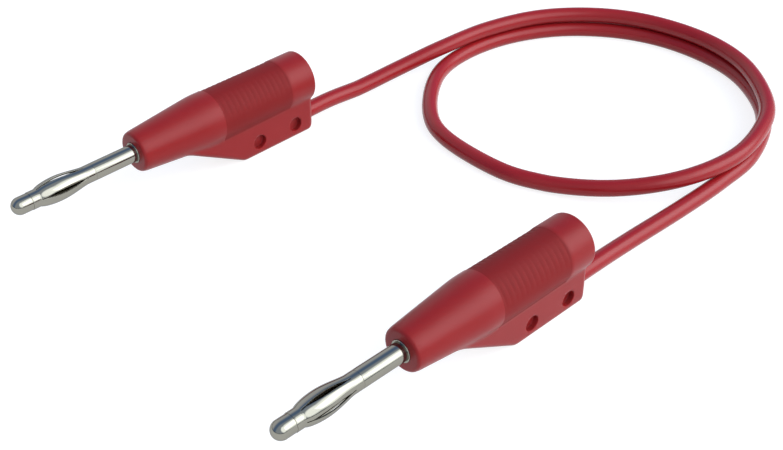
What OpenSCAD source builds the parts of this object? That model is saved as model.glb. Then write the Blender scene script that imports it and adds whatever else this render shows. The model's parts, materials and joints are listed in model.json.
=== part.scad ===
// Test lead: two stackable plugs with sprung 4 mm pins, joined by one cable.
// Both plugs lie on the flat bottoms of their keels, pins towards -X. The origin is on that
// surface, under the middle of the two plugs. A plug is drawn with its axis on X and its rear
// face at x = 0, and is then set where the cable leaves it.

/* [Insulator] */
// Length of the moulded insulator from its nose to its rear face
body_len = 36.9; // [32:0.1:46]
// Diameter across the nose
nose_d = 7.2; // [6.4:0.1:8.6]
// Rounding of the nose's edge
nose_round = 0.6; // [0.2:0.1:1]
// Length of the conical front
cone_len = 13.8; // [8:0.1:18]
// Diameter where the cone ends
body_d = 9.8; // [8.4:0.1:12]
// Diameter at the rear face
rear_d = 9.5; // [8.2:0.1:12]
// Rounding of the rear rim
rear_round = 0.3; // [0.1:0.05:0.6]

/* [Keel] */
// Height of the plug's axis above the keel's flat bottom
axis_h = 10; // [8.4:0.1:12]
// Thickness of the keel between its flat sides
keel_w = 7.4; // [6.1:0.1:9]
// Length of the flat bottom, from the rear face to where the slant would meet it
keel_flat_len = 16.1; // [13.5:0.1:20]
// Rise of the slanted front above the bottom, in degrees
slant = 29.3; // [24:0.1:36]
// Rounding along the keel's long lower edges
keel_edge_round = 1.1; // [0.4:0.1:1.4]
// Rounding of the corner under the cable
heel_round = 1.2; // [0.4:0.1:1.6]
// Rounding where the slant meets the bottom
toe_round = 2.5; // [1:0.1:4]
// Rounding of the keel's upright rear edges
keel_rear_round = 1; // [0.4:0.1:1.4]

/* [Side holes] */
// Diameter of the blind holes in the keel's sides
hole_d = 2.75; // [2:0.05:3.3]
// Depth of the blind holes
hole_depth = 1.1; // [0.5:0.1:1.4]
// Height of the holes above the bottom
hole_rise = 2.9; // [2.4:0.1:3.6]
// Distance of the rear hole from the rear face
hole_from_rear = 4.4; // [3:0.1:5.5]
// Distance between the holes
hole_pitch = 8.4; // [5:0.1:10]

/* [Grip] */
// Distance of the ribbed band from the rear face
grip_from_rear = 5.3; // [4:0.1:8]
// Length of the ribbed band
grip_len = 15.4; // [10:0.1:18]
// How deep the band is sunk below the smooth body
grip_sunk = 0.12; // [0.05:0.01:0.2]
// Number of grooves in the band
groove_count = 14; // [8:1:16]
// Depth of each groove below the band
groove_depth = 0.2; // [0.1:0.01:0.3]

/* [Pin] */
// Length of the pin from the insulator's nose to its tip
pin_len = 23.5; // [19:0.1:28.5]
// Diameter of the bullet tip
tip_d = 3; // [2.5:0.05:3.6]
// Length of the tip, up to the spring cage
tip_len = 3.2; // [2.5:0.1:4]
// Diameter of the smooth shaft
shaft_d = 3.1; // [2.8:0.05:3.8]
// Step of the collar beyond the shaft
collar_step = 0.28; // [0.1:0.02:0.5]
// How far the collar stands proud of the nose
collar_proud = 0.2; // [0.05:0.05:0.4]
// Depth of the collar inside the nose
collar_depth = 1.2; // [0.6:0.1:2]
// Diameter of the shank inside the insulator
shank_d = 2.6; // [2:0.1:3]

/* [Spring cage] */
// Length of the cage along the pin
cage_len = 12; // [10:0.1:14]
// Largest diameter over the bowed leaves
crest_d = 4.3; // [4:0.05:5.2]
// Thickness of the leaves
leaf_t = 0.3; // [0.2:0.05:0.4]
// Length of plain sleeve before and behind the bulge
cage_ends = 1.5; // [1:0.1:1.6]
// Place of the crest along the bulge, as a share of its length
crest_share = 0.42; // [0.35:0.01:0.55]
// Number of bowed leaves
leaf_count = 5; // [4:1:6]
// Widest gap between two leaves
slit_w = 0.8; // [0.5:0.05:1]
// Width of the slits at their ends
slit_end_w = 0.14; // [0.1:0.02:0.2]
// Length of the narrow straight end of each slit
slit_end_len = 0.5; // [0.3:0.1:1]
// Turn of the first slit round the pin, in degrees
slit_turn = 6; // [0:1:72]

/* [Socket] */
// Bore of the socket that another plug's pin enters
socket_d = 4; // [3.4:0.1:4.8]
// Spare depth of the socket beyond the length of a pin
socket_spare = 1; // [0.5:0.1:2]
// Wall of the socket sleeve
socket_wall = 0.6; // [0.4:0.05:0.8]
// Solid front of the sleeve, which the pin's shank is pressed into
socket_boss = 4; // [3:0.1:6]
// Depth of plastic behind the sleeve
mouth_depth = 1; // [0.6:0.1:2]
// How much wider than the socket's bore the hole through that plastic is, all round
mouth_gap = 0.3; // [0.1:0.05:0.5]

/* [Cable] */
// Diameter of the cable
cable_d = 3; // [2.4:0.1:3.6]
// Diameter of its conductor
conductor_d = 1.3; // [0.9:0.05:1.5]
// Gap under the cable where it leaves the keel
exit_rise = 0.2; // [0:0.1:1]
// Length of cable held inside the keel
entry_len = 5; // [3:0.1:6]
// Straight run of the cable out of the keel
exit_run = 7; // [5:0.5:10]
// Length of bared conductor
bared_len = 5.8; // [4:0.1:6.5]

/* [Cable lug] */
// Thickness of the lug's ring and tongue
lug_t = 0.6; // [0.4:0.05:0.8]
// Width of the lug's tongue
tongue_w = 2.6; // [2:0.1:3]
// Radial width of the lug's ring
ring_w = 0.8; // [0.5:0.05:1]
// Wall of the crimp barrel
barrel_wall = 0.4; // [0.3:0.05:0.5]
// Width of the barrel's seam
seam_w = 0.2; // [0.1:0.05:0.4]

/* [Hidden] */

// Clearance round each piece that is moulded in or pressed on
fit = 0.02;
// Overshoot of a cut past the face that it opens
cut = 0.5;
// Depth under the axis at which the keel ends inside the round body
keel_root = 2;
// Flat of a groove's crest or foot, as a share of the distance between grooves
groove_flat = 0.18;
// Handles that shape the cage's bulge, as shares of its rise or fall: how high, how far along
rise_start = [0.66, 0.19];
rise_end = 0.6;
fall_start = 0.37;
fall_end = [0.08, 0.8];
// Diameter of one strand as a share of the conductor's, a little over a third so that strands meet
strand_share = 0.36;
// Straight pieces in a quarter of a rounding
arc_steps = 6;
// Facets of a full turn
$fn = 72;

// Places along a plug, from its rear face at x = 0
nose_x = -body_len;
tip_x = nose_x - pin_len;
cage_x = tip_x + tip_len;
socket_x = -(pin_len + socket_spare);
sleeve_x = socket_x - socket_boss;
hole_x = -hole_from_rear;
grip_x = -grip_from_rear - grip_len;
bared_x = -entry_len;
wire_x = bared_x - bared_len;
lug_x = wire_x - fit - lug_t;
cable_z = exit_rise + cable_d / 2 - axis_h;
sleeve_d = socket_d + 2 * socket_wall;
collar_d = shaft_d + 2 * collar_step;
ring_d = sleeve_d + 2 * fit + 2 * ring_w;
barrel_d = conductor_d + 2 * fit + 2 * barrel_wall;

// Where the cable leaves each plug
exit_a = [31.2, 33.5];
exit_b = [29.2, -33.5];
// The way the cable lies from plug to plug: x, y, and how many of its own thicknesses lie under it
route = [
    [45, 33, 0],
    [55.5, 31.5, 0.4],
    [65, 29.5, 0.9],
    [76.5, 28, 1],
    [88, 24, 1],
    [97, 16.5, 1],
    [102.5, 7, 1],
    [104.5, -5, 1],
    [102, -16, 1],
    [94.5, -26, 1],
    [86.5, -31, 1],
    [74.5, -33.5, 1],
    [62.5, -31, 0.9],
    [53.5, -23.5, 0.4],
    [47.5, -13.5, 0],
    [44.5, -4.5, 0],
    [45, 9, 0],
    [49.5, 17.5, 0],
    [59.5, 25.5, 0],
    [69.5, 28, 0],
    [81, 26.5, 0],
    [91.5, 21, 0],
    [99.5, 12, 0],
    [103.5, 1.5, 0],
    [103.5, -10.5, 0],
    [99.5, -20, 0],
    [92, -28, 0],
    [80.5, -33, 0],
    [69.5, -34, 0],
    [58, -34, 0],
    [44, -33.5, 0]
];
// Rings of the cable's tube between two points of its route
rings_per_span = 2;
// Sides of the cable's tube
cable_sides = 8;

red = [0.61, 0.16, 0.165];
cable_red = [0.62, 0.13, 0.16];
nickel = [0.80, 0.81, 0.82];
brass = [0.80, 0.66, 0.36];
copper = [0.76, 0.46, 0.30];

// Points of an arc round a centre, from one angle to another
function arc(centre, r, from, to) =
    [for (i = [0 : arc_steps]) centre + r * [cos(from + (to - from) * i / arc_steps),
                                             sin(from + (to - from) * i / arc_steps)]];

// Point of a curve that leaves p0 towards p1 and arrives at p3 from p2
function bend(p0, p1, p2, p3, t) =
    pow(1 - t, 3) * p0 + 3 * t * pow(1 - t, 2) * p1 + 3 * t * t * (1 - t) * p2 + pow(t, 3) * p3;

// Turns a profile of [radius, x] points round the plug's axis
module turned() {
    rotate([0, 90, 0])
        rotate_extrude()
            children();
}

// Cylinder along X from one place to another, at a height on the plug
module rod(d, from, to, z = 0) {
    translate([from, 0, z])
        rotate([0, 90, 0])
            cylinder(h = to - from, d = d);
}

// What a rounding takes off a corner at the origin; one side runs along +X, the other turns back
module corner_trim(r, turn) {
    reach = r * tan(turn / 2);
    difference() {
        polygon([[0, -cut], [reach, -cut], [reach, 0], reach * [cos(180 - turn), sin(180 - turn)],
                 [-cut, 0], [-cut, -cut]]);
        translate([reach, r])
            circle(r);
    }
}

// Radius of the smooth insulator at a place along it, behind the cone
function body_r(x) = (rear_d + (body_d - rear_d) * -x / (body_len - cone_len)) / 2;

// Ribbed band: the crest and foot of each groove, from the front to the rear
function grip_points() =
    let (step = grip_len / groove_count, land = step * groove_flat)
    [for (i = [0 : groove_count - 1])
        let (x = grip_x + i * step, top = body_r(x) - grip_sunk)
            each [[top, x + land], [top - groove_depth, x + step / 2 - land / 2],
                  [top - groove_depth, x + step / 2 + land / 2], [top, x + step - land]]];

// Outline of the insulator's round body
function body_points() =
    let (lean = atan2(body_d / 2 - nose_d / 2, cone_len), cone_x = nose_x + cone_len)
    concat(
        [[0, nose_x]],
        arc([nose_d / 2 - nose_round, nose_x + nose_round], nose_round, -90, -lean),
        [[body_d / 2, cone_x], [body_r(grip_x), grip_x]],
        grip_points(),
        [[body_r(-grip_from_rear), -grip_from_rear]],
        arc([rear_d / 2 - rear_round, -rear_round], rear_round, 0, 90),
        [[0, 0]]
    );

// Section across the keel, flat sides and rounded lower edges, with its bottom on the X axis
module keel_section() {
    r = keel_edge_round;
    translate([-keel_w / 2 + r, 0])
        square([keel_w - 2 * r, axis_h]);
    translate([-keel_w / 2, r])
        square([keel_w, 2 * axis_h]);
    for (side = [-1, 1])
        translate([side * (keel_w / 2 - r), r])
            circle(r);
}

// That section drawn out along X, from x = -length to the rear
module keel_bar(length) {
    translate([-length, 0, 0])
        rotate([90, 0, 90])
            linear_extrude(length)
                keel_section();
}

// Keel from the side: flat bottom, slanted front, rounded toe and heel
module keel_side() {
    top = axis_h - keel_root;
    run = top / tan(slant);
    rotate([90, 0, 0])
        translate([0, 0, -keel_w])
            linear_extrude(2 * keel_w)
                difference() {
                    polygon([[0, 0], [0, top], [-keel_flat_len - run, top], [-keel_flat_len, 0]]);
                    mirror([1, 0])
                        corner_trim(heel_round, 90);
                    translate([-keel_flat_len, 0])
                        corner_trim(toe_round, slant);
                }
}

// Keel from above: the upright rear edges are rounded
module keel_plan() {
    r = keel_rear_round;
    linear_extrude(axis_h)
        union() {
            translate([-body_len, -keel_w / 2])
                square([body_len - r, keel_w]);
            translate([-body_len, -keel_w / 2 + r])
                square([body_len, keel_w - 2 * r]);
            for (side = [-1, 1])
                translate([-r, side * (keel_w / 2 - r)])
                    circle(r);
        }
}

// Keel that hangs under the round body and holds the cable
module keel() {
    translate([0, 0, -axis_h])
        intersection() {
            keel_side();
            keel_plan();
            keel_bar(body_len);
            // the same section along the slant rounds its edges too
            translate([-keel_flat_len, 0, 0])
                rotate([0, slant, 0])
                    translate([body_len, 0, 0])
                        keel_bar(2 * body_len);
        }
}

// Blind holes in both sides of the keel
module side_holes() {
    for (side = [-1, 1], i = [0, 1])
        translate([hole_x - i * hole_pitch, side * (keel_w / 2 - hole_depth), hole_rise - axis_h])
            rotate([-side * 90, 0, 0])
                cylinder(h = hole_depth + cut, d = hole_d);
}

// Room in the moulding for the metal parts and the end of the cable
module moulded_room() {
    rod(collar_d + 2 * fit, nose_x - cut, nose_x + collar_depth + fit);
    rod(shank_d + 2 * fit, nose_x, sleeve_x);
    rod(sleeve_d + 2 * fit, sleeve_x - fit, -mouth_depth + fit);
    rod(socket_d + 2 * mouth_gap, -mouth_depth, cut);
    rod(cable_d + 2 * fit, bared_x, cut, cable_z);
    rod(barrel_d + 2 * fit, lug_x - fit, bared_x + fit, cable_z);
    rod(ring_d + 2 * fit, lug_x - fit, lug_x + lug_t + fit);
    translate([lug_x - fit, -tongue_w / 2 - fit, cable_z])
        cube([lug_t + 2 * fit, tongue_w + 2 * fit, -cable_z]);
}

module insulator() {
    color(red)
        difference() {
            union() {
                turned()
                    polygon(body_points());
                keel();
            }
            moulded_room();
            side_holes();
        }
}

// Turned pin: bullet tip, core under the cage, shaft, collar, and a shank in the insulator
module contact_pin() {
    tip_r = tip_d / 2;
    core_r = shaft_d / 2 - leaf_t - fit;
    shaft_x = cage_x + cage_len;
    shank_end = sleeve_x + socket_boss - leaf_t;
    collar_x = nose_x - collar_proud;
    edge = collar_proud / 2;
    color(nickel)
        turned()
            polygon(concat(
                [for (i = [0 : 2 * arc_steps])
                    let (a = 90 * i / (2 * arc_steps))
                        [tip_r * sin(a), tip_x + tip_r * (1 - cos(a))]],
                [[tip_r, cage_x], [core_r, cage_x], [core_r, shaft_x], [shaft_d / 2, shaft_x],
                 [shaft_d / 2, collar_x], [collar_d / 2 - edge, collar_x],
                 [collar_d / 2, collar_x + edge], [collar_d / 2, nose_x + collar_depth],
                 [shank_d / 2, nose_x + collar_depth], [shank_d / 2, shank_end], [0, shank_end]]
            ));
}

// Outer outline of the cage: plain end, a quick rise to the crest, a longer fall, plain end
function cage_outline() =
    let (r0 = shaft_d / 2, r1 = crest_d / 2, x0 = cage_ends, x3 = cage_len - cage_ends,
         bulge = x3 - x0, xc = x0 + crest_share * bulge)
    concat(
        [[r0, fit]],
        [for (i = [0 : 2 * arc_steps])
            bend([r0, x0], [r0 + rise_start[0] * (r1 - r0), x0 + rise_start[1] * (xc - x0)],
                 [r1, x0 + rise_end * (xc - x0)], [r1, xc], i / (2 * arc_steps))],
        [for (i = [1 : 2 * arc_steps])
            bend([r1, xc], [r1, xc + fall_start * (x3 - xc)],
                 [r0 + fall_end[0] * (r1 - r0), xc + fall_end[1] * (x3 - xc)], [r0, x3],
                 i / (2 * arc_steps))],
        [[r0, cage_len - fit]]
    );

// Gap between two leaves, seen from outside: a long lens with a narrow slit at each end
module slit_outline() {
    length = cage_len - 2 * cage_ends;
    lens = length - 2 * slit_end_len;
    lens_r = (pow(lens, 2) / 4 + pow(slit_w, 2) / 4) / slit_w;
    intersection_for (side = [-1, 1])
        translate([0, side * (lens_r - slit_w / 2)])
            circle(lens_r, $fn = 360);
    square([length, slit_end_w], center = true);
}

// Rolled sleeve with bowed leaves, drawn from its front end and set behind the pin's tip
module spring_cage() {
    outer = cage_outline();
    inner = [for (i = [len(outer) - 1 : -1 : 0]) outer[i] - [leaf_t, 0]];
    color(nickel)
        translate([cage_x, 0, 0])
            difference() {
                turned()
                    polygon(concat(outer, inner));
                for (i = [0 : leaf_count - 1])
                    rotate([slit_turn + i * 360 / leaf_count, 0, 0])
                        translate([cage_len / 2, 0, 0])
                            linear_extrude(crest_d)
                                slit_outline();
            }
}

// Brass sleeve with the socket's bore, pressed on the pin's shank
module socket_sleeve() {
    chamfer = socket_wall / 2;
    rear_x = -mouth_depth;
    color(brass)
        turned()
            polygon([
                [shank_d / 2 + fit, sleeve_x], [sleeve_d / 2, sleeve_x], [sleeve_d / 2, rear_x],
                [socket_d / 2 + chamfer, rear_x], [socket_d / 2, rear_x - chamfer],
                [socket_d / 2, socket_x], [shank_d / 2 + fit, socket_x]
            ]);
}

// Stamped lug: a ring on the sleeve, a tongue down into the keel, and a crimp barrel
module cable_lug() {
    color(brass)
        difference() {
            union() {
                rod(ring_d, lug_x, lug_x + lug_t);
                translate([lug_x, -tongue_w / 2, cable_z])
                    cube([lug_t, tongue_w, -cable_z]);
                rod(barrel_d, lug_x, bared_x - lug_t / 2, cable_z);
            }
            rod(sleeve_d + 2 * fit, lug_x - cut, lug_x + lug_t + cut);
            rod(conductor_d + 2 * fit, lug_x + lug_t, cut, cable_z);
            translate([lug_x + lug_t, -seam_w / 2, cable_z - barrel_d])
                cube([bared_len, seam_w, barrel_d]);
        }
}

// Bared conductor: one strand in the middle and six round it
module wire_end() {
    strand_d = conductor_d * strand_share;
    ring_r = (conductor_d - strand_d) / 2;
    color(copper)
        union() {
            rod(conductor_d - strand_d, wire_x, bared_x, cable_z);
            for (a = [0 : 60 : 300])
                translate([0, ring_r * cos(a), ring_r * sin(a)])
                    rod(strand_d, wire_x, bared_x, cable_z, $fn = 24);
        }
}

// Height of the cable's centreline where so many thicknesses lie under it
function lie(layers) = (layers + 0.5) * cable_d;

// Centreline of the cable, from inside one keel to inside the other
function cable_points() =
    let (z = exit_rise + cable_d / 2)
    concat(
        [for (x = [-entry_len, 0, exit_run]) [exit_a.x + x, exit_a.y, z]],
        [for (p = route) [p.x, p.y, lie(p.z)]],
        [for (x = [exit_run, 0, -entry_len]) [exit_b.x + x, exit_b.y, z]]
    );

// Smooth curve through the points p1 and p2, between p0 and p3, never under the surface it lies on
function through(p0, p1, p2, p3, t) =
    let (p = 0.5 * (2 * p1 + (p2 - p0) * t + (2 * p0 - 5 * p1 + 4 * p2 - p3) * t * t
                    + (3 * p1 - p0 - 3 * p2 + p3) * t * t * t))
    [p.x, p.y, max(p.z, cable_d / 2)];

// Centres of the tube's rings
function ring_centres() =
    let (p = cable_points(), last = len(p) - 1)
    concat(
        [for (i = [0 : last - 1], k = [0 : rings_per_span - 1])
            through(p[max(i - 1, 0)], p[i], p[i + 1], p[min(i + 2, last)], k / rings_per_span)],
        [p[last]]
    );

function unit(v) = v / norm(v);

// One solid tube swept along the ring centres
module cable() {
    c = ring_centres();
    last = len(c) - 1;
    n = cable_sides;
    points = [
        for (i = [0 : last])
            let (ahead = unit(c[min(i + 1, last)] - c[max(i - 1, 0)]), side = unit([-ahead.y, ahead.x, 0]),
                 up = cross(ahead, side))
                for (k = [0 : n - 1])
                    c[i] + cable_d / 2 * (cos(360 * k / n) * side + sin(360 * k / n) * up)
    ];
    walls = [
        for (i = [0 : last - 1], k = [0 : n - 1])
            [i * n + k, i * n + (k + 1) % n, (i + 1) * n + (k + 1) % n, (i + 1) * n + k]
    ];
    first_end = [for (k = [n - 1 : -1 : 0]) k];
    last_end = [for (k = [0 : n - 1]) last * n + k];
    color(cable_red)
        polyhedron(points, concat(walls, [first_end, last_end]));
}

// Sets a plug's piece where the cable leaves that plug
module at_plug(exit) {
    translate([exit.x, exit.y, axis_h])
        children();
}

at_plug(exit_a) insulator();  // insulator_a
at_plug(exit_a) contact_pin();  // contact_pin_a
at_plug(exit_a) spring_cage();  // spring_cage_a
at_plug(exit_a) socket_sleeve();  // socket_sleeve_a
at_plug(exit_a) cable_lug();  // cable_lug_a
at_plug(exit_a) wire_end();  // wire_end_a
at_plug(exit_b) insulator();  // insulator_b
at_plug(exit_b) contact_pin();  // contact_pin_b
at_plug(exit_b) spring_cage();  // spring_cage_b
at_plug(exit_b) socket_sleeve();  // socket_sleeve_b
at_plug(exit_b) cable_lug();  // cable_lug_b
at_plug(exit_b) wire_end();  // wire_end_b
cable();
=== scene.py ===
# %% [markdown]
# This lesson gives a test lead its looks. The lead has two like plugs with sprung pins, and one
# cable between them. The construction model is loaded first and stays as it is: it says where each
# piece goes and how large it is. Each new piece then takes the place of one of the model's nodes.

import json
import math

import bmesh
import bpy
from mathutils import Matrix, Vector


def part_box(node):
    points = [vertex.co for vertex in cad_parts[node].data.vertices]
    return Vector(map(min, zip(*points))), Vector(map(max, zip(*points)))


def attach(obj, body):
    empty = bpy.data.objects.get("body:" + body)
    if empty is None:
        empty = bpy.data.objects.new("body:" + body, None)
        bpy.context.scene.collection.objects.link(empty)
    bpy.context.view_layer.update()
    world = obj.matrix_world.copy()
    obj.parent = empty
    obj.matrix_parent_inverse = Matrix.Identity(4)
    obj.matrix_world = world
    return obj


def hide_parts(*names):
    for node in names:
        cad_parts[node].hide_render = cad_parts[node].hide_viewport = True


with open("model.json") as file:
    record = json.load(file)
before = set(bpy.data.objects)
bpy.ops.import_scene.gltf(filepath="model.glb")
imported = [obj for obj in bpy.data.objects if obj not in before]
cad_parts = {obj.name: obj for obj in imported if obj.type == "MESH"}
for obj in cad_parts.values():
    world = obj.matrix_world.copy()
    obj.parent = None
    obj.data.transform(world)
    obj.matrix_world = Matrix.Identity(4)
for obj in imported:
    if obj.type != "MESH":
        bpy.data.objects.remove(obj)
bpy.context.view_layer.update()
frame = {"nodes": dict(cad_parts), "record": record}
print("pieces in the frame:", sorted(frame["nodes"]))

# %% [markdown]
# Both plugs lie along X with their pins towards -X. A plug is modelled in millimetres around its
# own axis, with its rear face at 0 and "depth" measured down from the axis. It is then set in its
# place, which the frame gives: the axis comes from the socket's mount, and the rear face from the
# insulator's box. These numbers could be typed in again, but read ones stay right if the model
# changes.

# %% Places and sizes from the frame
MM = 0.001
PLUGS = ("a", "b")
mounts = {mount["name"]: mount for mount in frame["record"]["mounts"]}


def plug_place(plug):
    """The point where a plug's axis meets its rear face, in metres."""
    across, height = mounts["socket_" + plug]["pos_m"][1:]
    return Vector((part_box("insulator_" + plug)[1].x, across, height))


PLACES = {plug: plug_place(plug) for plug in PLUGS}


def plug_span(node):
    """Where a node of plug a starts and ends along the plug, in millimetres from the rear face."""
    low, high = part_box(node + "_a")
    rear = PLACES["a"].x
    return (low.x - rear) / MM, (high.x - rear) / MM


NOSE_X = plug_span("insulator")[0]
TIP_X = plug_span("contact_pin")[0]
CAGE_X, CAGE_END_X = plug_span("spring_cage")
AXIS_HEIGHT = PLACES["a"].z / MM
print("nose, tip and cage start at", round(NOSE_X, 2), round(TIP_X, 2), round(CAGE_X, 2))

# %% [markdown]
# The camera comes first, because every later choice is judged through it. It looks down at the
# lead from beyond the near pin, and its long lens keeps the two plugs nearly parallel. It could be
# placed by eye. These numbers come from a fit to both plugs and the cable, which is more exact.

# %% Camera
PHOTO_WIDTH = 783
FOCAL_PIXELS = 1365.4
SENSOR_WIDTH = 36
NEAREST_SEEN = 0.01
CAMERA_PLACE = Vector((-107.13, -135.02, 139.01)) * MM
LOOK_DOWN = math.radians(36.96)
LOOK_ACROSS = math.radians(46.14)

camera_data = bpy.data.cameras.new("camera")
camera_data.sensor_width = SENSOR_WIDTH
camera_data.lens = FOCAL_PIXELS / PHOTO_WIDTH * SENSOR_WIDTH
camera_data.clip_start = NEAREST_SEEN
camera = bpy.data.objects.new("camera", camera_data)
camera.location = CAMERA_PLACE
sight = Vector((math.cos(LOOK_DOWN) * math.cos(LOOK_ACROSS),
                math.cos(LOOK_DOWN) * math.sin(LOOK_ACROSS),
                -math.sin(LOOK_DOWN)))
camera.rotation_euler = sight.to_track_quat("-Z", "Y").to_euler()
bpy.context.scene.collection.objects.link(camera)
bpy.context.scene.camera = camera
print("lens:", round(camera_data.lens, 2), "mm")

# %% [markdown]
# The cable leaves one keel, lies in a turn and a half and goes into the other keel. Such a cable
# could be a swept mesh, but a curve with a round bevel stays a cable: its points can be moved, and
# its length measured. The points below are where the cable lies, with the number of its own
# thicknesses under it, so that the upper turn rests on the lower one.

# %% Route of the cable
CABLE_D = 3.0
EXIT_RISE = 0.2
ENTRY_LENGTH = 5
EXIT_RUN = 7
ROUTE = [
    (45, 33, 0), (55.5, 31.5, 0.4), (65, 29.5, 0.9), (76.5, 28, 1), (88, 24, 1), (97, 16.5, 1),
    (102.5, 7, 1), (104.5, -5, 1), (102, -16, 1), (94.5, -26, 1), (86.5, -31, 1), (74.5, -33.5, 1),
    (62.5, -31, 0.9), (53.5, -23.5, 0.4), (47.5, -13.5, 0), (44.5, -4.5, 0), (45, 9, 0),
    (49.5, 17.5, 0), (59.5, 25.5, 0), (69.5, 28, 0), (81, 26.5, 0), (91.5, 21, 0), (99.5, 12, 0),
    (103.5, 1.5, 0), (103.5, -10.5, 0), (99.5, -20, 0), (92, -28, 0), (80.5, -33, 0),
    (69.5, -34, 0), (58, -34, 0), (44, -33.5, 0),
]


def exit_points(plug):
    """Three points of the cable at a plug: inside the keel, at its rear face, and behind it."""
    rear = PLACES[plug] / MM
    height = EXIT_RISE + CABLE_D / 2
    return [Vector((rear.x + step, rear.y, height)) for step in (-ENTRY_LENGTH, 0, EXIT_RUN)]


route = exit_points("a")
route += [Vector((x, y, (under + 0.5) * CABLE_D)) for x, y, under in ROUTE]
route += reversed(exit_points("b"))
print("cable points:", len(route))

# %% [markdown]
# A spline passes through its points as smoothly as its handles say. Blender could set the handles
# itself, but where the cable starts to rise some would dip below the table. So they are free: each
# points along the line between the two neighbours, a sixth of that distance away, and stays above
# the height at which the cable touches the table. Blender counts a point's radius into the curve's
# box, so the cable's thickness is given there, and the bevel's depth stays 1.

# %% Cable
CABLE_RESOLUTION = 10
CABLE_BEVEL_RESOLUTION = 7
HANDLE_PARTS = 6


def lifted(point):
    """The point, or the one above it at which the cable lies on the table."""
    return Vector((point.x, point.y, max(point.z, CABLE_D / 2)))


cable_curve = bpy.data.curves.new("test_cable", "CURVE")
cable_curve.dimensions = "3D"
cable_curve.resolution_u = CABLE_RESOLUTION
cable_curve.bevel_depth = 1
cable_curve.bevel_resolution = CABLE_BEVEL_RESOLUTION
cable_curve.use_fill_caps = True
spline = cable_curve.splines.new("BEZIER")
spline.bezier_points.add(len(route) - 1)
for index, bezier in enumerate(spline.bezier_points):
    before = route[max(index - 1, 0)]
    after = route[min(index + 1, len(route) - 1)]
    reach = (after - before) / HANDLE_PARTS
    bezier.handle_left_type = bezier.handle_right_type = "FREE"
    bezier.radius = CABLE_D / 2 * MM
    bezier.co = route[index] * MM
    bezier.handle_left = lifted(route[index] - reach) * MM
    bezier.handle_right = lifted(route[index] + reach) * MM
cable = bpy.data.objects.new("test_cable", cable_curve)
bpy.context.scene.collection.objects.link(cable)
cable_length = spline.calc_length()
print("cable length:", round(cable_length / MM, 1), "mm")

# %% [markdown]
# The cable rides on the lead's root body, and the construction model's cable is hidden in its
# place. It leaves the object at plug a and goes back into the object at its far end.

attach(cable, "root")
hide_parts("cable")
print("the cable leaves plug a at", [round(value, 4) for value in route[1] * MM])

# %% [markdown]
# Turned and moulded pieces start as half an outline that is spun about the plug's axis, as on a
# lathe. Cylinders and cones could be joined instead, but each joint would need cleaning. The
# helpers below draw an arc, spin an outline and put a mesh into the scene. A number on each ring of
# the mesh tells later steps which point of the outline it came from. Edges that turn by more than
# a set angle are marked sharp, so that the shading breaks there and is smooth everywhere else.

# %% Helpers for turned shapes
DOUBLES = 0.0005
SHARP_ANGLE = math.radians(35)


def arc(centre, radius, start, end, steps):
    """Points of an arc in the outline's plane: (along, radius) pairs, angles in degrees from +X."""
    angles = [math.radians(start + (end - start) * i / steps) for i in range(steps + 1)]
    return [(centre[0] + radius * math.cos(a), centre[1] + radius * math.sin(a)) for a in angles]


def spun(outline, columns, closed=False):
    """A mesh with the outline turned once about the X axis; its layer "ring" numbers the rings."""
    mesh = bmesh.new()
    ring = mesh.verts.layers.int.new("ring")
    points = [mesh.verts.new((along, 0, radius)) for along, radius in outline]
    for number, vertex in enumerate(points):
        vertex[ring] = number
    pairs = list(zip(points, points[1:] + points[:1]))
    edges = [mesh.edges.new(pair) for pair in (pairs if closed else pairs[:-1])]
    bmesh.ops.spin(mesh, geom=points + edges, cent=(0, 0, 0), axis=(1, 0, 0), dvec=(0, 0, 0),
                   angle=2 * math.pi, steps=columns, use_merge=True)
    bmesh.ops.remove_doubles(mesh, verts=mesh.verts[:], dist=DOUBLES)
    bmesh.ops.recalc_face_normals(mesh, faces=mesh.faces[:])
    return mesh


def mark_sharp(mesh):
    """Shades a mesh smoothly, except over edges that turn by more than the sharp angle."""
    for face in mesh.faces:
        face.smooth = True
    for edge in mesh.edges:
        edge.smooth = edge.calc_face_angle(0) < SHARP_ANGLE


def add_piece(mesh, name, plug):
    """Puts a mesh in millimetres into the scene, in the place of its plug."""
    mark_sharp(mesh)
    spans = [max(values) - min(values) for values in zip(*(vertex.co for vertex in mesh.verts))]
    bmesh.ops.scale(mesh, verts=mesh.verts[:], vec=(MM, MM, MM))
    bmesh.ops.translate(mesh, verts=mesh.verts[:], vec=PLACES[plug])
    data = bpy.data.meshes.new(name)
    mesh.to_mesh(data)
    mesh.free()
    piece = bpy.data.objects.new(name, data)
    bpy.context.scene.collection.objects.link(piece)
    print(name, "has", len(data.polygons), "faces and spans", [round(span, 2) for span in spans])
    return piece


washer = spun([(0, 1), (0, 2)], 12)
print("a washer that is spun in twelve steps has", len(washer.faces), "faces")
washer.free()

# %% [markdown]
# The insulator is one moulding: a cone, a ribbed grip, a plain collar, and a keel below that holds
# the cable. A box joined to a cylinder would leave a hard seam. Here the round body is spun first,
# and its underside is then drawn down into the keel, so one skin runs over both and the crease
# between them is soft. First come the sizes of the round body.

# %% Sizes of the insulator's body
NOSE_D = 7.2
NOSE_ROUND = 0.6
CONE_LENGTH = 13.8
BODY_D = 9.8
REAR_D = 9.5
REAR_ROUND = 0.3
SHOULDER_BLEND = 0.15


def soft_max(a, b, width):
    """The larger of two lengths, rounded over where they are within the width of each other."""
    near = max(width - abs(a - b), 0) / width
    return max(a, b) + near * near * width / 4


def soft_min(a, b, width):
    """The smaller of two lengths, rounded in the same way."""
    return -soft_max(-a, -b, width)


def rounded_end(along, radius):
    """How much a rounding of the rear end takes off at a place along the plug."""
    past = max(along + radius, 0)
    return radius - math.sqrt(max(radius ** 2 - past ** 2, 0))


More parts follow.
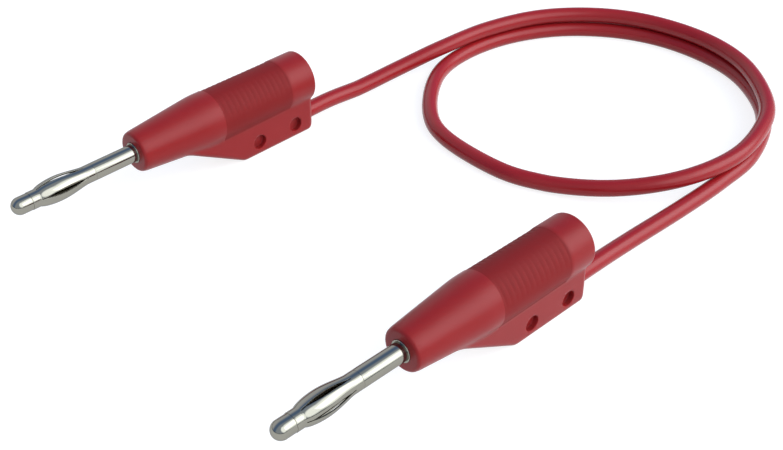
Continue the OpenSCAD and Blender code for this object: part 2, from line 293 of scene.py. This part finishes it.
def body_radius(along):
    """Radius of the smooth round body at a place along the plug."""
    cone_end = NOSE_X + CONE_LENGTH
    cone = (BODY_D + (BODY_D - NOSE_D) * (along - cone_end) / CONE_LENGTH) / 2
    barrel = (REAR_D + (BODY_D - REAR_D) * along / cone_end) / 2
    return soft_min(cone, barrel, SHOULDER_BLEND) - rounded_end(along, REAR_ROUND)


print("body radius at the shoulder:", round(body_radius(NOSE_X + CONE_LENGTH), 3), "mm")

# %% [markdown]
# Seen from the side, the keel has a flat bottom, a slanted front and a rounded heel. Seen from the
# rear it is a straight-sided box with rounded lower edges. It could be a bevelled box, but its
# surface is wanted as a distance from the axis, so that it can be compared with the round body's.
# The depth of its bottom and half its width are therefore functions of the place along the plug.

# %% Sizes of the keel
KEEL_W = 7.4
KEEL_FLAT = 16.1
SLANT = math.radians(29.3)
KEEL_EDGE = 1.1
HEEL_ROUND = 1.2
TOE_BLEND = 0.37
REAR_EDGE = 1.0
KEEL_START = -29.5
KEEL_FADE = 3.5
LEAST_SINE = 1e-6


def clamped(share):
    """The share, kept between 0 and 1."""
    return min(max(share, 0), 1)


def keel_bottom(along):
    """Depth of the keel's bottom below the axis."""
    slanted = AXIS_HEIGHT + (along + KEEL_FLAT) * math.tan(SLANT)
    return soft_min(AXIS_HEIGHT, slanted, TOE_BLEND) - rounded_end(along, HEEL_ROUND)


def keel_half_width(along):
    """Half the width of the keel."""
    return KEEL_W / 2 - rounded_end(along, REAR_EDGE)


def keel_reach(along, angle):
    """Distance from the axis to the keel's surface, at an angle from straight down."""
    fade = clamped((along - KEEL_START) / KEEL_FADE + 1)
    half = keel_half_width(along)
    bottom = max(keel_bottom(along), 2 * KEEL_EDGE)
    if angle >= math.pi / 2:
        return half * fade
    sine, cosine = math.sin(angle), math.cos(angle)
    to_side = half / max(sine, LEAST_SINE)
    to_bottom = bottom / cosine
    if to_side * cosine <= bottom - KEEL_EDGE:
        reach = to_side
    elif to_bottom * sine <= half - KEEL_EDGE:
        reach = to_bottom
    else:
        centre = Vector((half - KEEL_EDGE, bottom - KEEL_EDGE))
        ahead = centre.dot(Vector((sine, cosine)))
        reach = ahead + math.sqrt(max(ahead ** 2 - centre.length_squared + KEEL_EDGE ** 2, 0))
    return reach * fade


print("keel depth at the toe:", round(keel_bottom(-KEEL_FLAT), 2), "mm")

# %% [markdown]
# The grip is a band that is sunk a little below the body, with a sharp border in front and a
# softer one at the rear. Its ribs lie between shallow grooves that run across both flanks. The
# grooves flatten out towards the keel, where the mould's two halves open sideways, and towards the
# top. Each groove could be cut by itself, but a wave that is taken off the body's radius makes all
# of them in one skin.

# %% Sizes of the grip
GRIP_FROM = -20.7
GRIP_TO = -5.3
GRIP_SUNK = 0.08
GROOVES = 14
GROOVE_DEPTH = 0.12
GRIP_FRONT_STEP = 0.05
GRIP_REAR_STEP = 0.35
RIBS_FROM = math.radians(100)
RIBS_TO = math.radians(162)
RIBS_FADE = math.radians(24)


def grip_share(along):
    """1 inside the grip, 0 outside it."""
    return clamped(min((along - GRIP_FROM) / GRIP_FRONT_STEP, (GRIP_TO - along) / GRIP_REAR_STEP))


def rib_sink(along, angle):
    """How far the grip's surface lies below the smooth body, at an angle from straight down."""
    wave = (1 - math.cos(2 * math.pi * GROOVES * (along - GRIP_FROM) / (GRIP_TO - GRIP_FROM))) / 2
    strength = clamped(min(angle - RIBS_FROM, RIBS_TO - angle) / RIBS_FADE)
    return grip_share(along) * (GRIP_SUNK + GROOVE_DEPTH * wave ** 2 * strength)


print("distance between ribs:", round((GRIP_TO - GRIP_FROM) / GROOVES, 2), "mm")

# %% [markdown]
# The outline of the insulator runs from the nose over the outside to the rear face, and back
# through the bore that holds the pin and the socket. Rings lie close together where the form
# changes quickly: at the nose's rounding, along the slant of the keel, in the ribs and at the rear.
# Even rings would be simpler, but would either blur the ribs or waste faces on the cone.

# %% Outline of the insulator
NOSE_STEPS = 8
AFTER_NOSE = 0.4
CONE_STEP = 0.5
SLANT_FROM = KEEL_START - 2
SLANT_STEP = 0.25
RIB_STEP = 0.125
REAR_STEP = 0.4
HEEL_DEGREES = 10
COLLAR_D = 3.66
COLLAR_DEPTH = 1.2
SHANK_D = 2.6
SLEEVE_D = 5.2
SLEEVE_X, SLEEVE_END_X = plug_span("socket_sleeve")
MOUTH_D = 4.6
FIT = 0.02


def spread(start, end, step):
    """Even places from start up to, but not including, end."""
    count = max(round((end - start) / step), 1)
    return [start + (end - start) * i / count for i in range(count)]


lean = math.degrees(math.atan((BODY_D - NOSE_D) / 2 / CONE_LENGTH))
nose_arc = arc((NOSE_X + NOSE_ROUND, NOSE_D / 2 - NOSE_ROUND), NOSE_ROUND, 180, 90 + lean,
               NOSE_STEPS)
places = spread(nose_arc[-1][0] + AFTER_NOSE, SLANT_FROM, CONE_STEP)
places += spread(SLANT_FROM, GRIP_FROM, SLANT_STEP)
places += [GRIP_FROM]
places += spread(GRIP_FROM + GRIP_FRONT_STEP, GRIP_TO - GRIP_REAR_STEP, RIB_STEP)
places += [GRIP_TO - GRIP_REAR_STEP]
places += spread(GRIP_TO, -HEEL_ROUND, REAR_STEP)
places += [-HEEL_ROUND * (1 - math.sin(math.radians(turn))) for turn in range(0, 91, HEEL_DEGREES)]
outer = nose_arc + [(along, body_radius(along)) for along in places]
inner = [
    (0, MOUTH_D / 2), (SLEEVE_END_X + FIT, MOUTH_D / 2), (SLEEVE_END_X + FIT, SLEEVE_D / 2 + FIT),
    (SLEEVE_X - FIT, SLEEVE_D / 2 + FIT), (SLEEVE_X - FIT, SHANK_D / 2 + FIT),
    (NOSE_X + COLLAR_DEPTH + FIT, SHANK_D / 2 + FIT),
    (NOSE_X + COLLAR_DEPTH + FIT, COLLAR_D / 2 + FIT), (NOSE_X, COLLAR_D / 2 + FIT),
]
print("rings of the insulator:", len(outer), "outside,", len(inner), "inside")

# %% [markdown]
# The columns of the spun mesh are spread anew round each ring, so that one column follows the
# crease, others follow the keel's rounded edge, and no quad is wasted. Then each point of the outer
# skin moves out to the body or to the keel, whichever reaches further. The points of the grip get
# a number of their own as well, which tells its finish where the grip is.

# %% Shape of the insulator
COLUMNS = (38, 12, 7, 5)
TOP_COLUMNS = COLUMNS[0]
HALF_COLUMNS = sum(COLUMNS)
LEAST_BOTTOM = 0.93
CREASE_SINE = 0.9
CREASE = 0.4


def column_angle(along, column):
    """Angle from straight down of a column, counted from the top to the bottom."""
    radius = body_radius(along)
    half = keel_half_width(along)
    bottom = max(keel_bottom(along), LEAST_BOTTOM * radius)
    knots = [math.pi, math.asin(min(half / radius, CREASE_SINE)),
             math.atan2(half, bottom - KEEL_EDGE), math.atan2(half - KEEL_EDGE, bottom), 0]
    for start, end, count in zip(knots, knots[1:], COLUMNS):
        if column <= count:
            break
        column -= count
    return start + (end - start) * column / count


def draw_down(mesh, outer_rings):
    """Spreads the columns, draws the outer rings out to the keel and marks the grip."""
    ring = mesh.verts.layers.int["ring"]
    grip = mesh.verts.layers.float.new("grip")
    step = math.pi / HALF_COLUMNS
    for vertex in mesh.verts:
        along, across, up = vertex.co
        radius = math.hypot(across, up)
        column = round(abs(math.atan2(across, up)) / step)
        side = 1 if across > 0 else -1
        angle = column_angle(along, column)
        if vertex[ring] < outer_rings:
            sunk = radius - rib_sink(along, angle)
            radius = soft_max(sunk, keel_reach(along, angle), CREASE)
            vertex[grip] = grip_share(along) if column <= TOP_COLUMNS else 0
        vertex.co = (along, side * radius * math.sin(angle), -radius * math.cos(angle))


print("columns round each ring:", 2 * HALF_COLUMNS)

# %% [markdown]
# Two blind holes in each side of the keel are left by the pins that held the metal parts in the
# mould. Their cutters are turned like everything else, with a flared mouth that rounds the rim.
# The mouth stands a hair past the keel's side, because a cutter that ended right in that plane
# would leave slivers. One more cutter makes the hole that the cable comes out of.

# %% Cutters for the holes
HOLE_D = 2.75
HOLE_DEPTH = 0.9
HOLE_HEIGHT = 2.9
HOLE_FROM_REAR = 4.4
HOLE_PITCH = 8.4
HOLE_RIM = 0.08
RIM_PROUD = 0.012
HOLE_FLOOR_ROUND = 0.12
HOLE_STEPS = 4
CUTTER_COLUMNS = 48
CUTTER_PROUD = 1


def hole_cutter():
    """A round cutter along X whose floor is at 0 and whose mouth opens at the hole's depth."""
    radius = HOLE_D / 2
    wide = radius + HOLE_RIM
    floor = arc((HOLE_FLOOR_ROUND, radius - HOLE_FLOOR_ROUND), HOLE_FLOOR_ROUND, 180, 90,
                HOLE_STEPS)
    rim = arc((HOLE_DEPTH - HOLE_RIM + RIM_PROUD, wide), HOLE_RIM, 270, 360, HOLE_STEPS)
    return spun([(0, 0)] + floor + rim + [(2 * HOLE_DEPTH, wide), (2 * HOLE_DEPTH, 0)],
                CUTTER_COLUMNS)


def cable_cutter():
    """A round cutter along X, as wide as the cable with a little room, and past the rear face."""
    radius = CABLE_D / 2 + FIT
    return spun([(-ENTRY_LENGTH, 0), (-ENTRY_LENGTH, radius), (CUTTER_PROUD, radius),
                 (CUTTER_PROUD, 0)], CUTTER_COLUMNS)


def cutters(plug):
    """The cutters of one insulator, in their places."""
    made = []
    for side in (-1, 1):
        for number in (0, 1):
            mesh = hole_cutter()
            bmesh.ops.rotate(mesh, verts=mesh.verts[:], cent=(0, 0, 0),
                             matrix=Matrix.Rotation(side * math.radians(90), 3, "Z"))
            bmesh.ops.translate(mesh, verts=mesh.verts[:], vec=(
                -HOLE_FROM_REAR - number * HOLE_PITCH, side * (KEEL_W / 2 - HOLE_DEPTH),
                HOLE_HEIGHT - AXIS_HEIGHT))
            made.append(add_piece(mesh, "hole_cutter", plug))
    mesh = cable_cutter()
    bmesh.ops.translate(mesh, verts=mesh.verts[:],
                        vec=(0, 0, EXIT_RISE + CABLE_D / 2 - AXIS_HEIGHT))
    made.append(add_piece(mesh, "cable_cutter", plug))
    return made


print("side holes start", HOLE_FROM_REAR, "mm from the rear and are", HOLE_DEPTH, "mm deep")

# %% [markdown]
# The two insulators are the same moulding: spun, drawn down and cut. The cuts are Boolean
# modifiers, whose result has faces with many corners and a few slivers at the rims. Filling the
# rims by hand would be cleaner, but long. Instead all faces are split into well-shaped triangles,
# points closer than a sliver are merged, and the sharp edges are marked again. Weighted normals
# then let the large faces lead the shading, so that the keel's flat sides look flat.

# %% Insulators
SLIVER = 0.003 * MM


def cut_holes(piece, tools):
    """Cuts each tool's shape out of a piece, mends the mesh and deletes the tools."""
    for tool in tools:
        modifier = piece.modifiers.new("cut", "BOOLEAN")
        modifier.object = tool
        modifier.solver = "EXACT"
    shapes = bpy.context.evaluated_depsgraph_get()
    data = bpy.data.meshes.new_from_object(piece.evaluated_get(shapes))
    piece.modifiers.clear()
    piece.data = data
    mesh = bmesh.new()
    mesh.from_mesh(data)
    bmesh.ops.triangulate(mesh, faces=mesh.faces[:], quad_method="BEAUTY", ngon_method="BEAUTY")
    bmesh.ops.remove_doubles(mesh, verts=mesh.verts[:], dist=SLIVER)
    print("open edges after the cuts:", sum(not edge.is_manifold for edge in mesh.edges))
    mark_sharp(mesh)
    mesh.to_mesh(data)
    mesh.free()
    for tool in tools:
        bpy.data.objects.remove(tool)


def insulator(plug):
    """The moulded insulator of a plug."""
    mesh = spun(outer + inner, 2 * HALF_COLUMNS, closed=True)
    draw_down(mesh, len(outer))
    bmesh.ops.recalc_face_normals(mesh, faces=mesh.faces[:])
    piece = add_piece(mesh, "insulator_skin_" + plug, plug)
    cut_holes(piece, cutters(plug))
    weighted = piece.modifiers.new("weighted_normals", "WEIGHTED_NORMAL")
    weighted.keep_sharp = True
    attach(piece, "root")
    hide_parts("insulator_" + plug)
    return piece


insulators = [insulator(plug) for plug in PLUGS]

# %% [markdown]
# The pin is turned from one bar: a bullet tip, a thinner core under the spring cage, the smooth
# shaft, and a collar that is seated in the nose. Behind the collar a shank runs into the socket
# sleeve. A lathe leaves a small radius on every edge, and those radii catch the light. A bevel
# could add them later, but here each edge that shows is drawn as a short arc of the outline.

# %% Contact pin
TIP_D = 3.0
SHAFT_D = 3.1
LEAF_T = 0.3
PIN_COLUMNS = 96
COLLAR_PROUD = 0.2
SHANK_SEATED = 3
RIM = 0.09
RIM_STEPS = 5
EDGE = 0.03
EDGE_STEPS = 3
TIP_STEPS = 24


def pin_outline():
    """Outline of the pin from its tip to the end of its shank."""
    tip, shaft, core = TIP_D / 2, SHAFT_D / 2, SHAFT_D / 2 - LEAF_T - FIT
    collar, shank = COLLAR_D / 2, SHANK_D / 2
    face_x = NOSE_X - COLLAR_PROUD
    seat_x = NOSE_X + COLLAR_DEPTH
    end_x = SLEEVE_X + SHANK_SEATED
    return (
        arc((TIP_X + tip, 0), tip, 180, 90, TIP_STEPS)
        + arc((CAGE_X - EDGE, tip - EDGE), EDGE, 90, 0, EDGE_STEPS)
        + [(CAGE_X, core), (CAGE_END_X, core)]
        + arc((CAGE_END_X + EDGE, shaft - EDGE), EDGE, 180, 90, EDGE_STEPS)
        + [(face_x + EDGE, shaft)]
        + arc((face_x + RIM, collar - RIM), RIM, 180, 90, RIM_STEPS)
        + [(seat_x, collar), (seat_x, shank), (end_x, shank), (end_x, 0)]
    )


def contact_pin(plug):
    """The turned pin of a plug."""
    piece = add_piece(spun(pin_outline(), PIN_COLUMNS), "turned_pin_" + plug, plug)
    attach(piece, "root")
    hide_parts("contact_pin_" + plug)
    return piece


pins = [contact_pin(plug) for plug in PLUGS]

# %% [markdown]
# The spring cage is the piece that makes this plug. It is a thin sleeve, slit lengthways, whose
# five leaves bow out and press against the socket. A bow could be one arc, but the real one is
# plain at both ends and bows out between them in two smooth curves, a steep one up to the crest
# and a longer one down. Each slit is a long lens that runs into a short narrow gap at both ends.

# %% Outline of the spring cage
CREST_D = 4.3
CAGE_ENDS = 1.5
CREST_SHARE = 0.42
LEAVES = 5
SLIT_W = 0.8
SLIT_END_W = 0.14
SLIT_END_LENGTH = 0.5
RISE = ((0, 0), (0.19, 0.66), (0.6, 1), (1, 1))
FALL = ((0, 1), (0.37, 1), (0.8, 0.08), (1, 0))
BOW_STEPS = 22
END_STEP = 0.3


def bend(points, share):
    """Point of a smooth curve that leaves the first of four points and arrives at the last."""
    a, b, c, d = (Vector(point) for point in points)
    rest = 1 - share
    return rest ** 3 * a + 3 * rest ** 2 * share * b + 3 * rest * share ** 2 * c + share ** 3 * d


def cage_rings():
    """Places and outer radii of the cage's rings, from its front end to its rear end."""
    low, climb = SHAFT_D / 2, CREST_D / 2 - SHAFT_D / 2
    start, end = CAGE_X + CAGE_ENDS, CAGE_END_X - CAGE_ENDS
    crest = start + CREST_SHARE * (end - start)
    up = [(start + u * (crest - start), low + v * climb) for u, v in RISE]
    down = [(crest + u * (end - crest), low + v * climb) for u, v in FALL]
    rings = [(along, low) for along in spread(CAGE_X, start, END_STEP)]
    rings += [tuple(bend(up, i / BOW_STEPS)) for i in range(BOW_STEPS)]
    rings += [tuple(bend(down, i / BOW_STEPS)) for i in range(BOW_STEPS + 1)]
    rings += [(along, low) for along in spread(end + END_STEP, CAGE_END_X, END_STEP)]
    return rings + [(CAGE_END_X, low)]


def slit_width(along):
    """Width of the gap between two leaves: a long lens with a narrow slit at each end."""
    middle = (CAGE_X + CAGE_END_X) / 2
    half = (CAGE_END_X - CAGE_X) / 2 - CAGE_ENDS
    lens = half - SLIT_END_LENGTH
    off = abs(along - middle)
    if off > half:
        return 0
    if off > lens:
        return SLIT_END_W
    radius = (lens ** 2 + SLIT_W ** 2 / 4) / SLIT_W
    return max(2 * (math.sqrt(radius ** 2 - off ** 2) - radius + SLIT_W / 2), SLIT_END_W)


print("rings of the cage:", len(cage_rings()))

# %% [markdown]
# The cage could be cut out of a tube, but the cuts would break up the rows of faces on the bowed
# metal, and a mirror finish shows that. So one leaf is a flat grid that is bent round the pin: its
# sides run along the slits, and at the plain ends they meet the next leaf and are welded. Solidify
# gives the sheet its thickness inwards, and a bevel eases its cut edges, as in pressed metal. Each
# cage is pushed on with a turn of its own about its pin.

# %% Spring cage
LEAF_COLUMNS = 14
LEAF_EDGE = 0.05
CUT_EDGE_ANGLE = math.radians(50)
FIRST_SLIT = {"a": math.radians(-3), "b": math.radians(-13)}


def add_leaf(mesh, rings, centre):
    """Bends a grid into one leaf round the X axis, centred on an angle from straight up."""
    made = bmesh.ops.create_grid(mesh, x_segments=len(rings) - 1, y_segments=LEAF_COLUMNS, size=1)
    for vertex in made["verts"]:
        along, radius = rings[round((vertex.co.x + 1) / 2 * (len(rings) - 1))]
        half_angle = math.pi / LEAVES - slit_width(along) / 2 / radius
        angle = centre + vertex.co.y * half_angle
        vertex.co = (along, radius * math.sin(angle), radius * math.cos(angle))


def spring_cage(plug):
    """The slit sleeve with bowed leaves round a plug's pin."""
    mesh = bmesh.new()
    rings = cage_rings()
    for number in range(LEAVES):
        add_leaf(mesh, rings, FIRST_SLIT[plug] + (number + 0.5) * 2 * math.pi / LEAVES)
    bmesh.ops.remove_doubles(mesh, verts=mesh.verts[:], dist=DOUBLES)
    bmesh.ops.recalc_face_normals(mesh, faces=mesh.faces[:])
    bmesh.ops.solidify(mesh, geom=mesh.faces[:], thickness=LEAF_T)
    cut_edges = [edge for edge in mesh.edges if edge.calc_face_angle(0) > CUT_EDGE_ANGLE]
    bmesh.ops.bevel(mesh, geom=cut_edges, offset=LEAF_EDGE, offset_type="OFFSET", segments=2,
                    profile=0.5, affect="EDGES", clamp_overlap=True, material=-1)
    piece = add_piece(mesh, "bowed_cage_" + plug, plug)
    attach(piece, "root")
    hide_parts("spring_cage_" + plug)
    return piece


cages = [spring_cage(plug) for plug in PLUGS]

# %% [markdown]
# Materials are written as sums. A small class wraps a socket of a shader node, so that
# "1 - mask" adds the Math node it stands for. A second class holds the nodes of one material, or
# of the sky, and has a single method that adds any other node. Nodes could be placed by hand in
# the editor, but sums can be read and changed in one place.

# %% Helpers for materials


class Signal:
    """A socket that can be added, subtracted and multiplied."""

    def __init__(self, finish, socket):
        self.finish = finish
        self.socket = socket

    def __add__(self, other):
        return self.finish.maths("ADD", self, other)

    def __sub__(self, other):
        return self.finish.maths("SUBTRACT", self, other)

    def __rsub__(self, other):
        return self.finish.maths("SUBTRACT", other, self)

    def __mul__(self, other):
        return self.finish.maths("MULTIPLY", self, other)

    __radd__ = __add__
    __rmul__ = __mul__


class Finish:
    """The nodes of one material or of the sky."""

    def __init__(self, tree):
        self.tree = tree
        self.tree.nodes.clear()

    def node(self, kind, settings=None, values=None):
        """Adds a node: its settings are set first, then the values or links of its sockets."""
        made = self.tree.nodes.new(kind)
        for name, setting in (settings or {}).items():
            setattr(made, name, setting)
        for name, value in (values or {}).items():
            if isinstance(value, Signal):
                self.tree.links.new(value.socket, made.inputs[name])
            else:
                made.inputs[name].default_value = value
        return made

    def signal(self, made, output=0):
        """One output of a node, ready for sums."""
        return Signal(self, made.outputs[output])

    def maths(self, operation, first, second):
        """A Math node on two values."""
        return self.signal(self.node("ShaderNodeMath", {"operation": operation},
                                     {0: first, 1: second}))

    def mix(self, share, first, second):
        """A colour between two; inputs 6 and 7 and output 2 are the Mix node's colours."""
        return self.signal(self.node("ShaderNodeMix", {"data_type": "RGBA"},
                                     {0: share, 6: first, 7: second}), 2)

    def noise(self, scale, detail=2):
        """Soft noise on the object's own coordinates, with its scale in lumps a metre."""
        place = self.signal(self.node("ShaderNodeTexCoord"), "Object")
        return self.signal(self.node("ShaderNodeTexNoise", None,
                                     {"Vector": place, "Scale": scale, "Detail": detail}))

    def bump(self, height, strength, distance):
        """A Bump node's normal for a height."""
        return self.signal(self.node("ShaderNodeBump", None, {
            "Height": height, "Strength": strength, "Distance": distance}))

    def surface(self, values):
        """The material's main shader and its output."""
        main = self.node("ShaderNodeBsdfPrincipled", None, values)
        self.node("ShaderNodeOutputMaterial", None, {"Surface": self.signal(main)})


def new_finish(name):
    """An empty material and its nodes."""
    print("making the material", name)
    material = bpy.data.materials.new(name)
    material.use_nodes = True
    return material, Finish(material.node_tree)


# %% [markdown]
# The insulator is moulded in a matte red plastic. Its skin has a fine grain from the mould, which
# breaks up the highlight, and its colour is not quite even. A little light goes under the skin and
# softens the edge of each shade. The grip is darker and duller, where the mesh's grip number says
# so. A painted picture could hold all this, but noise on the object's own coordinates has no seams.

# %% Moulded red
BODY_DEEP = (0.242, 0.0112, 0.0122, 1)
BODY_BRIGHT = (0.27, 0.0136, 0.0145, 1)
GRIP_RED = (0.188, 0.0058, 0.006, 1)
GRIP_COVER = 0.9
BODY_ROUGHNESS = 0.31
GRAIN_ROUGHNESS = 0.1
GRIP_ROUGHNESS = 0.26


def moulded_red():
    """Matte red plastic, darker where the mesh's grip attribute says so."""
    material, finish = new_finish("moulded_red")
    grip = finish.signal(finish.node("ShaderNodeAttribute", {"attribute_name": "grip"}), "Fac")
    cloud = finish.noise(scale=180)
    grain = finish.noise(scale=3200, detail=3)
    body = finish.mix(cloud, BODY_DEEP, BODY_BRIGHT)
    finish.surface({
        "Base Color": finish.mix(grip * GRIP_COVER, body, GRIP_RED),
        "Roughness": BODY_ROUGHNESS + GRAIN_ROUGHNESS * grain + GRIP_ROUGHNESS * grip,
        "Normal": finish.bump(grain, strength=0.25, distance=0.02 * MM),
        "Specular IOR Level": 0.215,
        "Subsurface Weight": 0.3,
        "Subsurface Radius": (1.0, 0.15, 0.1),
        "Subsurface Scale": MM,
    })
    return material


red = moulded_red()

# %% [markdown]
# The cable's sheath is pressed out through a die, so it is smoother and shinier than the moulding,
# with long, slight waves that bend its highlight. Waves could be modelled, but these are too
# shallow to change the outline. So one noise feeds the bump and the colour, and a finer one
# varies the polish and roughens the bump a little.

# %% Glossy red sheath
SHEATH_DEEP = (0.285, 0.0095, 0.0125, 1)
SHEATH_BRIGHT = (0.312, 0.0112, 0.0142, 1)
SHEATH_ROUGHNESS = 0.2
SHEATH_GRAIN_ROUGHNESS = 0.08
SHEATH_GRAIN_HEIGHT = 0.15


def glossy_sheath():
    """Smooth, shiny cable sheath with a slight unevenness."""
    material, finish = new_finish("glossy_sheath")
    waves = finish.noise(scale=260)
    grain = finish.noise(scale=2400)
    height = waves + SHEATH_GRAIN_HEIGHT * grain
    finish.surface({
        "Base Color": finish.mix(waves, SHEATH_DEEP, SHEATH_BRIGHT),
        "Roughness": SHEATH_ROUGHNESS + SHEATH_GRAIN_ROUGHNESS * grain,
        "Normal": finish.bump(height, strength=0.2, distance=0.05 * MM),
        "Specular IOR Level": 0.3,
    })
    return material


sheath = glossy_sheath()

# %% [markdown]
# Pins and cages are plated with nickel, the sleeves and lugs inside are brass, and the wire ends
# are bare copper. Each could have its own material by hand, but they differ only in colour and
# polish, so one function makes all three. A polished metal mostly shows what stands round it. The
# nickel's own colour is darker than real nickel's, because it mirrors glows brighter than white.

# %% Metals
EDGE_TINT = (0.6, 0.6, 0.62, 1)
SCUFF_ROUGHNESS = 0.06


def metal(name, light, dark, roughness):
    """Polished metal with faint cloudiness in its colour and polish."""
    material, finish = new_finish(name)
    cloud = finish.noise(scale=500)
    scuffs = finish.noise(scale=4200, detail=4)
    finish.surface({
        "Base Color": finish.mix(cloud, dark, light),
        "Metallic": 1.0,
        "Roughness": roughness + SCUFF_ROUGHNESS * scuffs,
        "Normal": finish.bump(scuffs, strength=0.05, distance=0.01 * MM),
        "Specular Tint": EDGE_TINT,
    })
    return material


nickel = metal("nickel_plate", light=(0.31, 0.3, 0.255, 1), dark=(0.28, 0.272, 0.23, 1),
               roughness=0.06)
brass = metal("bright_brass", light=(0.62, 0.44, 0.16, 1), dark=(0.5, 0.34, 0.12, 1),
              roughness=0.18)
copper = metal("bare_copper", light=(0.62, 0.28, 0.16, 1), dark=(0.48, 0.2, 0.11, 1),
               roughness=0.25)

# %% [markdown]
# Every new piece gets its finish, and so does every node of the construction model. Its sleeves,
# lugs and wire ends have the right shape already and stay in view. Its other nodes could be left
# bare, since the new pieces stand in for them, but then the two would no longer match.

# %% Give each piece its finish
NODE_FINISHES = {"insulator": red, "contact_pin": nickel, "spring_cage": nickel,
                 "socket_sleeve": brass, "cable_lug": brass, "wire_end": copper}


def paint(piece, material):
    """Puts a material on every slot of a piece, or on a first slot if it has none."""
    if not piece.material_slots:
        piece.data.materials.append(material)
    for slot in piece.material_slots:
        slot.material = material


for piece in insulators:
    paint(piece, red)
for piece in pins + cages:
    paint(piece, nickel)
for plug in PLUGS:
    for node, material in NODE_FINISHES.items():
        paint(frame["nodes"][node + "_" + plug], material)
for piece in (cable, frame["nodes"]["cable"]):
    paint(piece, sheath)
print("materials in use:", [material.name for material in (red, sheath, nickel, brass, copper)])

# %% [markdown]
# The lead lies on a plain white table in a studio. A table that is lit to full white needs so much
# light that the lead goes pale. So this floor is grey, and camera, glossy and transmission rays
# see a darker grey with a plain white glow added. The glow keeps the background even, and the lit
# grey keeps the lead's soft shadow.

# %% Floor
FLOOR_SIZE = 8
FLOOR_GREY = (0.6, 0.6, 0.6, 1)
SEEN_GREY = (0.32, 0.32, 0.32, 1)
PLAIN_WHITE = 0.8


def white_floor():
    """A grey floor that shows as white."""
    material, finish = new_finish("white_floor")
    path = finish.node("ShaderNodeLightPath")
    seen = finish.maths("MAXIMUM", finish.signal(path, "Is Camera Ray"),
                        finish.signal(path, "Is Glossy Ray"))
    seen = finish.maths("MAXIMUM", seen, finish.signal(path, "Is Transmission Ray"))
    grey = finish.mix(seen, FLOOR_GREY, SEEN_GREY)
    lit = finish.node("ShaderNodeBsdfDiffuse", None, {"Color": grey})
    plain = finish.node("ShaderNodeEmission", None, {"Strength": seen * PLAIN_WHITE})
    both = finish.node("ShaderNodeAddShader", None,
                       {0: finish.signal(lit), 1: finish.signal(plain)})
    finish.node("ShaderNodeOutputMaterial", None, {"Surface": finish.signal(both)})
    return material


floor_mesh = bmesh.new()
bmesh.ops.create_grid(floor_mesh, x_segments=4, y_segments=4, size=FLOOR_SIZE / 2)
floor_data = bpy.data.meshes.new("floor")
floor_mesh.to_mesh(floor_data)
floor_mesh.free()
floor = bpy.data.objects.new("floor", floor_data)
bpy.context.scene.collection.objects.link(floor)
paint(floor, white_floor())
print("the floor is", FLOOR_SIZE, "m wide")

# %% [markdown]
# One softbox stands at the right, about thirty degrees above the table, and casts the lead's soft
# shadow. More lamps could light the other sides, but each would cast a shadow of its own, so the
# sky does that work in the next step.

# %% Softbox
MIDDLE = Vector((0.02, 0, 0.01))
KEY_WAY = Vector((0.554, -0.644, 0.527))
KEY_DISTANCE = 0.9
KEY_WIDTH, KEY_HEIGHT = 0.8, 0.5
KEY_POWER = 1.9

lamp_data = bpy.data.lights.new("right_softbox", "AREA")
lamp_data.shape = "RECTANGLE"
lamp_data.size, lamp_data.size_y = KEY_WIDTH, KEY_HEIGHT
lamp_data.energy = KEY_POWER
lamp = bpy.data.objects.new("right_softbox", lamp_data)
lamp.location = MIDDLE + KEY_WAY.normalized() * KEY_DISTANCE
lamp.rotation_euler = (MIDDLE - lamp.location).to_track_quat("-Z", "Y").to_euler()
bpy.context.scene.collection.objects.link(lamp)
print("the softbox stands at", [round(value, 2) for value in lamp.location])

# %% [markdown]
# The sky is a colour for each direction. The near side is a pale blue and the far side nearly
# white. Between them, just past overhead, lies a band of deeper blue, which gives the metal its
# blue stripe, and near the horizon the sky is dark, which gives it dark lines. Two soft glows, one
# round the softbox and one beside it, draw the long pale streaks on plugs and pins. A picture of a
# studio could be wrapped round the scene, but a few ramps are easier to move.

# %% Sky
SIDE_WAY = Vector((0.05, -0.8, 0.6))
NEAR_EDGE = (-0.1, 0.2)
FAR_EDGE = (0.42, 0.8)
HORIZON_EDGE = (0.02, 0.12)
GLOW_EDGE = (math.cos(math.radians(36)), math.cos(math.radians(20)))
NEAR_SKY = (0.6, 0.68, 0.82, 1)
BLUE_BAND = (0.2, 0.32, 0.58, 1)
FAR_SKY = (0.95, 0.97, 1.05, 1)
DARK_HORIZON = (0.06, 0.05, 0.05, 1)
GLOW = (2.75, 2.88, 3.0, 1)

world = bpy.data.worlds.new("studio")
bpy.context.scene.world = world
world.use_nodes = True
sky = Finish(world.node_tree)
way = sky.signal(sky.node("ShaderNodeTexCoord"), "Generated")
parts = sky.node("ShaderNodeSeparateXYZ", None, {0: way})
far_part, high_part = sky.signal(parts, "Y"), sky.signal(parts, "Z")


def ramp(value, start, end):
    """0 at the start, 1 at the end, and smooth between them."""
    return sky.signal(sky.node("ShaderNodeMapRange", {"interpolation_type": "SMOOTHSTEP"}, {
        "Value": value, "From Min": start, "From Max": end}))


def glow(centre):
    """1 round a direction, 0 away from it."""
    near = sky.signal(sky.node("ShaderNodeVectorMath", {"operation": "DOT_PRODUCT"},
                               {0: way, 1: centre}), "Value")
    return ramp(near, *GLOW_EDGE)


shade = sky.mix(1 - ramp(far_part, *NEAR_EDGE), BLUE_BAND, NEAR_SKY)
shade = sky.mix(ramp(far_part, *FAR_EDGE), shade, FAR_SKY)
shade = sky.mix(ramp(high_part, *HORIZON_EDGE), DARK_HORIZON, shade)
shade = sky.mix(sky.maths("MAXIMUM", glow(KEY_WAY), glow(SIDE_WAY)), shade, GLOW)
light = sky.node("ShaderNodeBackground", None, {"Color": shade, "Strength": 1.0})
sky.node("ShaderNodeOutputWorld", None, {"Surface": sky.signal(light)})
bpy.context.scene.view_settings.view_transform = "Standard"
print("nodes in the sky:", len(sky.tree.nodes))
